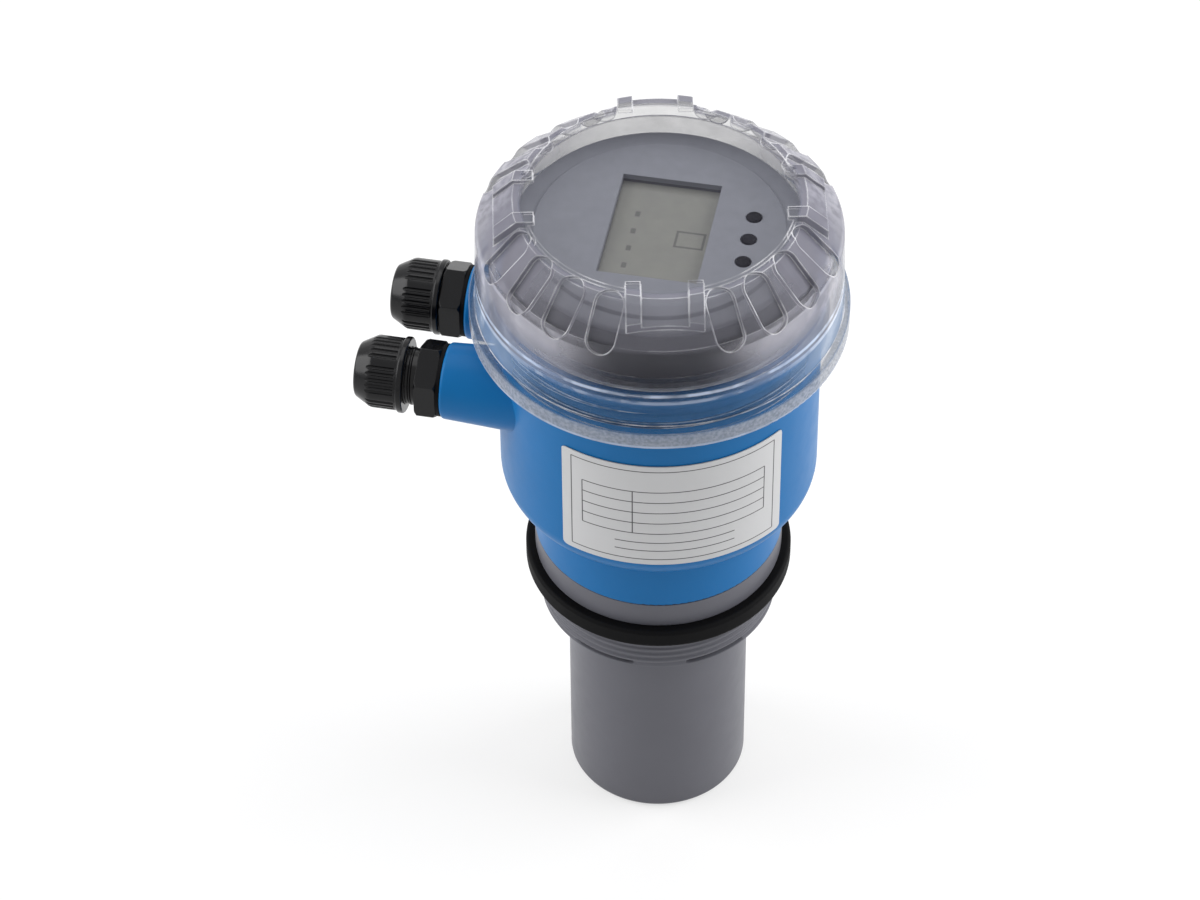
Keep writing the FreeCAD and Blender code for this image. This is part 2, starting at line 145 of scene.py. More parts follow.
class ShaderTree:
    """A node tree that is written as Python expressions."""

    MIX_FACTOR, MIX_FIRST, MIX_SECOND, MIX_RESULT = 0, 6, 7, 2

    def __init__(self, tree: bpy.types.NodeTree) -> None:
        """Take over a tree and empty it."""
        self.tree = tree
        self.tree.nodes.clear()

    def node(self, kind: str, settings: Optional[Mapping[str, Any]] = None,
             sockets: Optional[Mapping[Union[str, int], Any]] = None) -> bpy.types.Node:
        """Add any node.

        Args:
            kind: Blender's name of the node type.
            settings: attributes, set before the sockets.
            sockets: input sockets by name or number, each a value or a Wire to link.

        Returns:
            The new node.
        """
        made = self.tree.nodes.new(kind)
        for name, value in (settings or {}).items():
            setattr(made, name, value)
        for key, value in (sockets or {}).items():
            if isinstance(value, Wire):
                self.tree.links.new(value.socket, made.inputs[key])
            else:
                made.inputs[key].default_value = value
        return made

    def wire(self, kind: str, settings: Optional[Mapping[str, Any]] = None,
             sockets: Optional[Mapping[Union[str, int], Any]] = None, output: Union[str, int] = 0) -> Wire:
        """Add any node and take one of its outputs.

        Args:
            kind: Blender's name of the node type.
            settings: attributes, set before the sockets.
            sockets: input sockets by name or number, each a value or a Wire to link.
            output: name or number of the output.

        Returns:
            That output.
        """
        return Wire(self, self.node(kind, settings, sockets).outputs[output])

    def place(self) -> Wire:
        """Object coordinates, in metres."""
        return self.wire("ShaderNodeTexCoord", output="Object")

    def place_mm(self) -> Tuple[Wire, ...]:
        """Object coordinates as three numbers in millimetres."""
        split = self.node("ShaderNodeSeparateXYZ", sockets={0: self.place()})
        return tuple(Wire(self, out) * (1 / MM) for out in split.outputs)

    def noise(self, size_mm: float, detail: Detail) -> Wire:
        """Soft noise from 0 to 1.

        Args:
            size_mm: size of its largest patches.
            detail: how many finer octaves are added.

        Returns:
            The noise value.
        """
        sockets = {"Vector": self.place(), "Scale": 1 / (size_mm * MM), "Detail": detail.value}
        return self.wire("ShaderNodeTexNoise", {}, sockets, "Fac")

    def swing(self, size_mm: float, detail: Detail, reach: float) -> Wire:
        """Soft noise about zero: noise less one half, scaled so that it stays within the reach."""
        return (self.noise(size_mm, detail) - 0.5) * (2 * reach)

    def mix(self, factor: Operand, first: Union[Wire, Colour], second: Union[Wire, Colour]) -> Wire:
        """Blend two colours.

        Args:
            factor: 0 gives the first colour and 1 the second.
            first: a colour.
            second: a colour.

        Returns:
            The blended colour.
        """
        sockets = {self.MIX_FACTOR: factor, self.MIX_FIRST: rgba(first), self.MIX_SECOND: rgba(second)}
        return self.wire("ShaderNodeMix", {"data_type": "RGBA"}, sockets, self.MIX_RESULT)


def rgba(colour: Union[Wire, Colour]) -> Any:
    """Give a plain colour its alpha and leave a Wire as it is."""
    return colour if isinstance(colour, Wire) else (*colour, 1.0)


def scaled(colour: Colour, share: float) -> Colour:
    """A colour times a share, kept below white."""
    return tuple(min(1.0, c * share) for c in colour)


@dataclass(frozen=True)
class Finish:
    """A moulded surface: a colour that wanders a little, uneven gloss, fine grain and softened edges."""

    name: str
    colour: Colour
    roughness: float
    specular: float = 0.5
    mottle: float = 0.05
    mottle_mm: float = 14.0
    gloss_drift: float = 0.06
    gloss_mm: float = 4.0
    grain_mm: float = 0.5
    grain_depth_mm: float = 0.004
    edge_mm: float = 0.25

    def mottled(self, tree: ShaderTree, colour: Colour) -> Wire:
        """A colour between a darker and a lighter shade of it, by slow noise.

        Args:
            tree: the material's tree.
            colour: the mean colour.

        Returns:
            The mottled colour.
        """
        darker, lighter = (scaled(colour, 1 + side * self.mottle) for side in (-1, 1))
        return tree.mix(tree.noise(self.mottle_mm, Detail.RICH), darker, lighter)

    def colour_wire(self, tree: ShaderTree) -> Wire:
        """Base colour, mottled."""
        return self.mottled(tree, self.colour)

    def softened(self, tree: ShaderTree) -> Wire:
        """Normal that is rounded over near sharp edges."""
        return tree.wire("ShaderNodeBevel", {"samples": BEVEL_SAMPLES}, {"Radius": self.edge_mm * MM})

    def relief(self, tree: ShaderTree) -> Dict[str, Any]:
        """Roughness that drifts about its mean, and a normal with grain and softened edges.

        Args:
            tree: the material's tree.

        Returns:
            Links by socket name.
        """
        bump = {"Strength": 1.0, "Distance": self.grain_depth_mm * MM,
                "Height": tree.noise(self.grain_mm, Detail.FINE), "Normal": self.softened(tree)}
        return {"Roughness": tree.swing(self.gloss_mm, Detail.FINE, self.gloss_drift) + self.roughness,
                "Normal": tree.wire("ShaderNodeBump", {}, bump)}

    def varying(self, tree: ShaderTree) -> Dict[str, Any]:
        """Shader sockets that change over the surface, as links by socket name."""
        return {"Base Color": self.colour_wire(tree), **self.relief(tree)}

    def fixed(self) -> Dict[str, Any]:
        """Shader sockets that are the same all over the surface."""
        return {"Specular IOR Level": self.specular}

    def material(self) -> bpy.types.Material:
        """Build the material.

        Returns:
            A new material with one Principled shader.
        """
        made = bpy.data.materials.new(self.name)
        made.use_nodes = True
        tree = ShaderTree(made.node_tree)
        shader = tree.wire("ShaderNodeBsdfPrincipled", {}, {**self.varying(tree), **self.fixed()})
        tree.node("ShaderNodeOutputMaterial", {}, {"Surface": shader})
        return made


@dataclass(frozen=True)
class Rise:
    """A soft step: the level at which it is one half, and the width over which it rises."""

    level: float
    soft: float

    def mask(self, value: Wire) -> Wire:
        """Mask that rises from 0 to 1 where a value passes the level."""
        return value.above(self.level, self.soft)


@dataclass(frozen=True)
class Veil:
    """A colour and how much it hides, from 0 to 1."""

    colour: Colour
    density: float


@dataclass(frozen=True)
class Haze:
    """Haze of a clear moulding from a height and a radius on: one veil face-on and another turned aside."""

    foot_mm: float
    face: Veil
    aside: Veil
    turn: Rise
    beyond_mm: float = field(default=33.6, kw_only=True)
    soft_mm: float = field(default=1.2, kw_only=True)

    def look(self, tree: ShaderTree, away: Wire) -> Tuple[Wire, Wire]:
        """Colour and density by the share that the surface is turned away from the viewer.

        Args:
            tree: the material's tree.
            away: that share, 0 face-on and 1 edge-on.

        Returns:
            Colour and density.
        """
        share = self.turn.mask(away)
        density = share * (self.aside.density - self.face.density) + self.face.density
        return tree.mix(share, self.face.colour, self.aside.colour), density


@dataclass(frozen=True)
class PatchyHaze(Haze):
    """Haze with a third veil at a grazing angle; its density is there all over, its colour in patches."""

    graze: Veil
    graze_turn: Rise
    patch_mm: float
    patch: Rise

    def look(self, tree: ShaderTree, away: Wire) -> Tuple[Wire, Wire]:
        """Colour and density as for plain haze, going over to the grazing veil.

        Args:
            tree: the material's tree.
            away: share that the surface is turned away, 0 face-on and 1 edge-on.

        Returns:
            Colour and density.
        """
        colour, density = super().look(tree, away)
        share = self.graze_turn.mask(away)
        patches = share * self.patch.mask(tree.noise(self.patch_mm, Detail.FINE))
        density = density + (self.graze.density - density) * share
        return tree.mix(patches, colour, self.graze.colour), density


@dataclass(frozen=True)
class PaintedHighlightRing:
    """A painted highlight line round a clear moulding at a height, standing in for light that its wall bends
    there.
    """

    height_mm: float
    half_mm: float
    veil: float

    def mask(self, height: Wire) -> Wire:
        """Mask of the painted highlight line over the height, soft over its width."""
        return (height - self.height_mm).within(self.half_mm, self.half_mm)


@dataclass(frozen=True)
class ClearPlastic(Finish):
    """Clear moulded plastic: a window, bands of haze from the foot upwards, and painted highlight rings.

    The finish's own colour is a painted highlight on the moulded edges, where they would catch the light, in
    places.
    """

    window: Haze = Haze(0.0, Veil((0.125, 0.123, 0.155), 0.09), Veil((0.155, 0.154, 0.184), 0.5),
                        Rise(0.6, 0.4))
    bands: Tuple[Haze, ...] = (
        Haze(0.0, Veil((0.04, 0.08, 0.15), 0.20), Veil((0.15, 0.20, 0.29), 0.80), Rise(0.5, 0.4)),
        # outer flange rim: light grey haze, with fine patches of the lighter grazing veil painted as glitter,
        # highlights on the rim
        PatchyHaze(0.0, Veil((0.29, 0.31, 0.345), 0.58), Veil((0.22, 0.245, 0.30), 0.82),
                   Rise(0.5, 0.4), graze=Veil((0.50, 0.525, 0.58), 0.62), graze_turn=Rise(0.1, 0.1),
                   patch_mm=0.8, patch=Rise(0.5, 0.6), beyond_mm=42.4),
        Haze(163.6, Veil((0.05, 0.11, 0.21), 0.24), Veil((0.15, 0.20, 0.29), 0.80), Rise(0.5, 0.4)),
        # skirt over the neck's thread: the blue veil is painted light, standing in for the lit blue neck seen
        # through the wall
        Haze(165.4, Veil((0.13, 0.29, 0.56), 0.22), Veil((0.22, 0.31, 0.46), 0.76), Rise(0.55, 0.3)),
        PatchyHaze(172.6, Veil((0.088, 0.087, 0.102), 0.25), Veil((0.34, 0.35, 0.42), 0.42),
                   Rise(0.35, 0.14), graze=Veil((0.19, 0.197, 0.24), 0.72), graze_turn=Rise(0.54, 0.26),
                   patch_mm=6.0, patch=Rise(0.3, 0.5)),
        PatchyHaze(180.5, Veil((0.088, 0.087, 0.102), 0.25), Veil((0.70, 0.692, 0.77), 0.40),
                   Rise(0.35, 0.14), graze=Veil((0.29, 0.286, 0.33), 0.72), graze_turn=Rise(0.54, 0.26),
                   patch_mm=6.0, patch=Rise(0.3, 0.5), soft_mm=7.0),
        PatchyHaze(187.6, Veil((0.225, 0.223, 0.262), 0.32), Veil((0.215, 0.212, 0.256), 0.70),
                   Rise(0.19, 0.16), graze=Veil((0.44, 0.436, 0.495), 0.78), graze_turn=Rise(0.55, 0.3),
                   patch_mm=2.6, patch=Rise(0.48, 0.4), beyond_mm=33.2),
    )
    # painted highlight lines round the cap's lower wall
    rings: Tuple[PaintedHighlightRing, ...] = (
        PaintedHighlightRing(height_mm=174.4, half_mm=0.55, veil=0.8),
        PaintedHighlightRing(height_mm=172.2, half_mm=0.6, veil=0.45),
        PaintedHighlightRing(height_mm=159.3, half_mm=0.4, veil=0.5),
    )
    # colour of the painted highlight rings
    painted_ring_colour: Colour = (0.60, 0.68, 0.84)
    ring_r_mm: float = 42.5
    window_soft_mm: float = 1.2
    cloud: float = 0.09
    cloud_mm: float = 5.0
    # painted highlight on the moulded edges: how much it hides, and how far the rounded normal turns where it
    # starts
    edge_highlight_veil: float = 0.85
    edge_highlight_turn: Rise = Rise(0.9625, 0.065)
    glint_mm: float = 7.0
    glint: Rise = Rise(0.48, 0.2)
    glint_low: float = 0.5
    refraction: float = 1.15

    def _painted_edge_highlights(self, tree: ShaderTree) -> Wire:
        """Mask of the painted highlights on the moulded edges, where the rounded normal turns away from the
        surface's own.

        Args:
            tree: the material's tree.

        Returns:
            1 on an edge and 0 elsewhere.
        """
        own = tree.wire("ShaderNodeNewGeometry", output="Normal")
        normals = {0: self.softened(tree), 1: own}
        turn = tree.wire("ShaderNodeVectorMath", {"operation": "DOT_PRODUCT"}, normals, "Value")
        return 1.0 - self.edge_highlight_turn.mask(abs(turn))

    def _glint(self, tree: ShaderTree) -> Wire:
        """Strength of the painted highlights, from the glint's low to 1, that comes and goes along an edge.
        """
        patches = self.glint.mask(tree.noise(self.glint_mm, Detail.LITTLE))
        return patches * (1.0 - self.glint_low) + self.glint_low

    def _haze(self, tree: ShaderTree, radius: Wire, height: Wire) -> Tuple[Wire, Wire]:
        """Haze of the window, then of each band over it, with clouds of noise.

        Args:
            tree: the material's tree.
            radius: distance from the axis in millimetres.
            height: height in millimetres.

        Returns:
            Colour and density.
        """
        away = tree.wire("ShaderNodeLayerWeight", output="Facing")
        colour, density = self.window.look(tree, away)
        for band in self.bands:
            over = (height.above(band.foot_mm, band.soft_mm)
                    * radius.above(band.beyond_mm, self.window_soft_mm))
            band_colour, band_density = band.look(tree, away)
            colour = tree.mix(over, colour, band_colour)
            density = density + (band_density - density) * over
        return colour, density + tree.swing(self.cloud_mm, Detail.FINE, self.cloud)

    def varying(self, tree: ShaderTree) -> Dict[str, Any]:
        """Colour and density from haze, painted highlight rings and painted highlights on the moulded edges;
        the rest as on any moulding.

        Args:
            tree: the material's tree.

        Returns:
            Links by socket name.
        """
        x, y, height = tree.place_mm()
        radius = (x * x + y * y).root()
        colour, density = self._haze(tree, radius, height)
        glint = self._glint(tree)
        outer = radius.above(self.ring_r_mm, self.window_soft_mm) * glint
        # painted highlight rings on the outer wall, coming and going with the glint
        for ring in self.rings:
            bright = ring.mask(height) * outer
            colour = tree.mix(bright, colour, self.painted_ring_colour)
            density = density.larger(bright * ring.veil)
        # painted highlights on the moulded edges, in the finish's own near-white colour
        lines = self._painted_edge_highlights(tree) * glint
        return {"Base Color": tree.mix(lines, colour, self.colour),
                "Alpha": density.larger(lines * self.edge_highlight_veil), **self.relief(tree)}

    def fixed(self) -> Dict[str, Any]:
        """Strength of the mirror reflection, the same all over."""
        return {"IOR": self.refraction}


@dataclass(frozen=True)
class Metal(Finish):
    """Plated metal."""

    def fixed(self) -> Dict[str, Any]:
        """Metal all over."""
        return {"Metallic": 1.0}


@dataclass(frozen=True)
class CircuitBoard(Finish):
    """Solder mask with lighter copper runs under it in both directions."""

    run_pitch_mm: float = 3.2
    run_w_mm: float = 0.5
    run_soft_mm: float = 0.1
    run_patch_mm: float = 7.0
    run_patch: Rise = Rise(0.53333, 0.03333)
    copper: Colour = (0.06, 0.30, 0.10)

    def colour_wire(self, tree: ShaderTree) -> Wire:
        """Runs where the distance to the nearest grid line is under half their width, in patches of noise.

        Args:
            tree: the material's tree.

        Returns:
            Base colour.
        """
        along_x, along_y = (self._run(tree, value) for value in tree.place_mm()[:2])
        patches = self.run_patch.mask(tree.noise(self.run_patch_mm, Detail.NONE))
        return tree.mix(along_x.larger(along_y) * patches, super().colour_wire(tree), self.copper)

    def _run(self, tree: ShaderTree, value: Wire) -> Wire:
        """Mask of evenly spaced runs across one direction.

        Args:
            tree: the material's tree.
            value: place in that direction, in millimetres.

        Returns:
            1 on a run and 0 between runs.
        """
        half = self.run_pitch_mm / 2
        off_line = tree.wire("ShaderNodeMath", {"operation": "WRAP"}, {0: value, 1: half, 2: -half})
        return off_line.within(self.run_w_mm / 2, self.run_soft_mm)


@dataclass(frozen=True)
class LabelFilm(Finish):
    """Silver film on the drum, printed with a blank form: a border, a ruled table and two footer rules."""

    centre_deg: float = 16.5
    radius_mm: float = 39.85
    centre_z_mm: float = 129.2
    border_mm: Tuple[float, float] = (26.4, 15.2)
    rule_mm: float = 0.28
    soft_mm: float = 0.12
    ink: Colour = (0.035, 0.035, 0.04)
    table_rules_mm: Tuple[float, ...] = (8.2, 4.6, 1.0, -2.6, -6.2)
    table_half_mm: float = 23.4
    divider_mm: float = -10.6
    footer_rules_mm: Tuple[float, ...] = (-9.4, -12.2)
    footer_half_mm: float = 15.0

    def colour_wire(self, tree: ShaderTree) -> Wire:
        """Film colour with ink where the place along the drum falls on a line of the form.

        Args:
            tree: the material's tree.

        Returns:
            Base colour.
        """
        x, y, z = tree.place_mm()
        along = (x.angle_from(y * -1.0) - math.radians(self.centre_deg)) * self.radius_mm
        ink = self._form(along, z - self.centre_z_mm)
        return tree.mix(ink, super().colour_wire(tree), self.ink)

    def _line(self, value: Wire) -> Wire:
        """Mask of a thin line where a value is zero."""
        return value.within(self.rule_mm / 2, self.soft_mm)

    def _form(self, along: Wire, up: Wire) -> Wire:
        """Mask of the printed lines.

        Args:
            along: distance round the drum from the label's middle, in millimetres.
            up: height above the label's middle, in millimetres.

        Returns:
            1 on ink and 0 on bare film.
        """
        wide, high = self.border_mm
        inside = along.within(wide, self.soft_mm) * up.within(high, self.soft_mm)
        ink = self._line(abs(along) - wide) * up.within(high, self.soft_mm)
        ink = ink.larger(self._line(abs(up) - high) * along.within(wide, self.soft_mm))
        table = along.within(self.table_half_mm, self.soft_mm) * inside
        for level in self.table_rules_mm:
            ink = ink.larger(self._line(up - level) * table)
        for level in self.footer_rules_mm:
            ink = ink.larger(self._line(up - level) * along.within(self.footer_half_mm, self.soft_mm))
        top, bottom = self.table_rules_mm[0], self.table_rules_mm[-1]
        column = (up - (top + bottom) / 2).within((top - bottom) / 2, self.soft_mm)
        for place in (-self.table_half_mm, self.divider_mm, self.table_half_mm):
            ink = ink.larger(self._line(along - place) * column)
        return ink


@dataclass(frozen=True)
class LighterTopCase(Finish):
    """Moulded case that is lighter on top: above a height its colour goes over to a lighter one."""

    # lighter colour of the case's top, and the height above which it is used
    film: Colour = (0.240, 0.250, 0.286)
    lighter_top_from: Rise = Rise(185.4, 0.3)

    def colour_wire(self, tree: ShaderTree) -> Wire:
        """Case colour below the height and the lighter top colour, with the same mottling, above it."""
        above = self.lighter_top_from.mask(tree.place_mm()[2])
        return tree.mix(above, super().colour_wire(tree), self.mottled(tree, self.film))


@dataclass(frozen=True)
class LcdGlass(Finish):
    """Liquid crystal glass: faint segment ticks down one side and a faint frame mark."""

    mark: Colour = (0.07, 0.072, 0.07)
    ticks_x_mm: float = -6.45
    ticks_y_mm: Tuple[float, ...] = (6.2, 0.2, -5.8, -11.8)
    tick_half_mm: Tuple[float, float] = (0.6, 0.9)
    frame_mm: Tuple[float, float] = (7.4, -0.7)
    frame_half_mm: Tuple[float, float] = (3.6, 2.9)
    stroke_mm: float = 0.6
    soft_mm: float = 0.3
    strength: float = 0.7

    def colour_wire(self, tree: ShaderTree) -> Wire:
        """Glass colour, darker on the ticks and on the outline of the frame mark.

        The outline is a rectangle less one that is smaller by the stroke all round.

        Args:
            tree: the material's tree.

        Returns:
            Base colour.
        """
        x, y, _ = tree.place_mm()
        wide, high = self.frame_half_mm
        dx, dy = x - self.frame_mm[0], y - self.frame_mm[1]
        inner_w, inner_h = wide - self.stroke_mm, high - self.stroke_mm
        marks = self._box(dx, dy, wide, high) - self._box(dx, dy, inner_w, inner_h)
        for level in self.ticks_y_mm:
            marks = marks.larger(self._box(x - self.ticks_x_mm, y - level, *self.tick_half_mm))
        return tree.mix(marks * self.strength, super().colour_wire(tree), self.mark)

    def _box(self, dx: Wire, dy: Wire, half_w: float, half_h: float) -> Wire:
        """Mask of a rectangle about the place where both distances are zero."""
        return dx.within(half_w, self.soft_mm) * dy.within(half_h, self.soft_mm)


class Finishes(Enum):
    """The finishes of the object, each under the material slot that it belongs to."""

    BLUE_PLASTIC = Finish("blue_plastic", (0.004, 0.137, 0.375), 0.36, specular=0.14, grain_depth_mm=0.006)
    # the clear plastic's own colour is the painted highlight on its moulded edges
    CLEAR_PLASTIC = ClearPlastic("clear_plastic", (0.92, 0.92, 0.96), 0.12, gloss_drift=0.04,
                                 grain_mm=6.0, grain_depth_mm=0.02, edge_mm=0.55)
    GREY_PLASTIC = Finish("grey_plastic", (0.115, 0.116, 0.136), 0.40, specular=0.25, grain_depth_mm=0.006)
    DISPLAY_GREY = LighterTopCase("display_grey", (0.10, 0.102, 0.118), 0.5, specular=0.25, mottle=0.04,
                              grain_mm=0.3, grain_depth_mm=0.002)
    BLACK_NYLON = Finish("black_nylon", (0.0035, 0.0035, 0.0045), 0.2, specular=0.23, mottle=0.15,
                         grain_depth_mm=0.006)
    BLACK_RUBBER = Finish("black_rubber", (0.003, 0.003, 0.0035), 0.6, specular=0.07, mottle=0.2,
                          grain_mm=0.35, grain_depth_mm=0.012)
    PALE_SILICONE = Finish("pale_silicone", (0.80, 0.82, 0.86), 0.45, mottle=0.04)
    LCD = LcdGlass("lcd", (0.230, 0.233, 0.211), 0.16, mottle=0.03, gloss_drift=0.03, grain_mm=8.0)
    LABEL = LabelFilm("label", (0.56, 0.562, 0.57), 0.4, mottle=0.03, grain_mm=0.4, grain_depth_mm=0.002)
    BOARD_GREEN = CircuitBoard("board_green", (0.012, 0.11, 0.04), 0.35)
    TERMINAL_GREEN = Finish("terminal_green", (0.03, 0.21, 0.08), 0.45)
    STEEL = Metal("steel", (0.62, 0.62, 0.60), 0.3, mottle=0.08, grain_mm=0.2)
    CERAMIC = Finish("ceramic", (0.66, 0.58, 0.42), 0.5)
    EPOXY = Finish("epoxy", (0.30, 0.27, 0.18), 0.4, mottle=0.12)
    CORK = Finish("cork", (0.20, 0.12, 0.06), 0.8, mottle=0.3, mottle_mm=2.0, grain_mm=1.0,
                  grain_depth_mm=0.05)
    LEAD_GREY = Finish("lead_grey", (0.10, 0.10, 0.11), 0.5)

    @property
    def slot(self) -> str:
        """Name of the record's material slot."""
        return self.value.name


class Wardrobe:
    """Builds each material once and puts it on pieces."""

    def __init__(self) -> None:
        """Start with no material built."""
        self._built: Dict[Finishes, bpy.types.Material] = {}

    def _material(self, finish: Finishes) -> bpy.types.Material:
        """Material of a finish, built on first use.

        Args:
            finish: the finish.

        Returns:
            Its material.
        """
        if finish not in self._built:
            self._built[finish] = finish.value.material()
        return self._built[finish]

    def dress_nodes(self, finish: Finishes, *names: str) -> None:
        """Give CAD nodes a finish.

        Args:
            finish: the finish.
            names: names of the nodes.
        """
        for name in names:
            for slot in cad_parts[name].material_slots:
                slot.material = self._material(finish)
            LOG.info("%s wears %s", name, finish.slot)

    def dress_piece(self, piece: bpy.types.Object, finish: Finishes, body: str,
                    replaces: Sequence[str] = ()) -> None:
        """Give a new piece its finish and its body.

        Args:
            piece: the object.
            finish: the finish.
            body: name of the body that carries it.
            replaces: CAD nodes that it stands for.
        """
        piece.data.materials.append(self._material(finish))
        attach(piece, body)
        if replaces:
            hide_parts(*replaces)
        LOG.info("%s rides on %s and wears %s", piece.name, body, finish.slot)


def grid_faces(rows: int, columns: int) -> np.ndarray:
    """Quads of a grid of vertices that is stored row after row, each row closed on itself.

    Args:
        rows: number of rows.
        columns: vertices in a row.

    Returns:
        Vertex numbers, one quad to a line: a vertex, its neighbour in the row, and theirs in the next row.
    """
    row, column = np.meshgrid(np.arange(rows - 1), np.arange(columns), indexing="ij")
    this, beside = row * columns + column, row * columns + (column + 1) % columns
    return np.stack((this, beside, beside + columns, this + columns), axis=-1).reshape(-1, 4)


def surface_piece(name: str, points: np.ndarray) -> bpy.types.Object:
    """Make an object from a grid of points, closing poles by merging what coincides.

    Args:
        name: the object's name.
        points: rows x columns x 3 array in millimetres, each row a closed loop.

    Returns:
        The object, at the origin.
    """
    rows, columns, _ = points.shape
    mesh = bpy.data.meshes.new(name)
    mesh.from_pydata((points * MM).reshape(-1, 3).tolist(), [], grid_faces(rows, columns).tolist())
    shape = bmesh.new()
    shape.from_mesh(mesh)
    bmesh.ops.remove_doubles(shape, verts=shape.verts, dist=MERGE_M)
    bmesh.ops.dissolve_degenerate(shape, edges=shape.edges, dist=DEGENERATE_M)
    bmesh.ops.recalc_face_normals(shape, faces=shape.faces)
    shape.to_mesh(mesh)
    shape.free()
    mesh.polygons.foreach_set("use_smooth", np.ones(len(mesh.polygons), dtype=bool))
    mesh.set_sharp_from_angle(angle=math.radians(SHARP_DEG))
    piece = bpy.data.objects.new(name, mesh)
    bpy.context.scene.collection.objects.link(piece)
    return piece


def smooth_step(value: np.ndarray) -> np.ndarray:
    """3 v^2 - 2 v^3 with v held between 0 and 1."""
    held = np.clip(value, 0.0, 1.0)
    return held * held * (3.0 - 2.0 * held)


def about_z(radius: np.ndarray, angle: np.ndarray, height: np.ndarray) -> np.ndarray:
    """Points at radii r, angles a about Z and heights h: (r cos a, r sin a, h)."""
    height = np.broadcast_to(height, radius.shape)
    return np.stack((radius * np.cos(angle), radius * np.sin(angle), height), axis=-1)


class Corner(Enum):
    """Which outer corner of a section is rounded."""

    LOWER = "lower"
    UPPER = "upper"


def rounded(radius: float, height: float, edge: float, corner: Corner) -> np.ndarray:
    """Quarter circle that rounds an outer corner of a section, followed upwards.

    The arc's centre lies one edge radius inside the corner both ways, and the angle runs a quarter turn.

    Args:
        radius: the corner's distance from the axis.
        height: the corner's height.
        edge: radius of the rounding.
        corner: lower corner (arc from the underside to the wall) or upper (from the wall to the top).

    Returns:
        Lines of radius and height.
    """
    turn = np.linspace(0.0, np.pi / 2, ARC_POINTS)
    if corner is Corner.LOWER:
        return np.stack((radius - edge + edge * np.sin(turn), height + edge - edge * np.cos(turn)), axis=-1)
    return np.stack((radius - edge + edge * np.cos(turn), height - edge + edge * np.sin(turn)), axis=-1)


def plain(pairs: Union[np.ndarray, Sequence[Tuple[float, float]]]) -> np.ndarray:
    """Section points off the thread: radius, height, 0, 0."""
    return np.concatenate((np.asarray(pairs, dtype=float), np.zeros((len(pairs), 2))), axis=1)


@dataclass
class Thread:
    """A single right-hand ridge on a round core along +Z, fading out at both ends."""

    root_r_mm: float
    height_mm: float
    pitch_mm: float
    start_mm: float
    end_mm: float
    root_w: float = 0.62
    crest_w: float = 0.26
    foot_sink: float = 0.15
    flank_rise: float = 0.55
    shoulder_rise: float = 0.9
    flat_share: float = 0.7
    fade_turns: float = 0.2
    steps_per_turn: int = 120

    def points(self) -> np.ndarray:
        """Sweep the ridge's section along a helix.

        The helix rises one pitch a turn. The section is a trapezoid whose flat crest stands the ridge's
        height above the root (inwards when the height is negative) and whose foot is sunk a little into the
        core; its size is scaled by a smooth step that is 0 at both ends.

        Returns:
            Rows x columns x 3 array in millimetres.
        """
        turns = (self.end_mm - self.start_mm) / self.pitch_mm
        along = np.linspace(0.0, turns, int(turns * self.steps_per_turn) + 1)[:, None]
        size = smooth_step(along / self.fade_turns) * smooth_step((turns - along) / self.fade_turns)
        half_root, half_crest = self.root_w * self.pitch_mm / 2, self.crest_w * self.pitch_mm / 2
        rise = np.array([-self.foot_sink, self.flank_rise, self.shoulder_rise, 1.0])
        half = np.array([half_root, (half_root + half_crest) / 2, half_crest, half_crest * self.flat_share])
        radius = self.root_r_mm + size * self.height_mm * np.concatenate((rise, rise[::-1]))
        height = self.start_mm + along * self.pitch_mm + size * np.concatenate((-half, half[::-1]))
        return about_z(radius, 2 * np.pi * along, height)


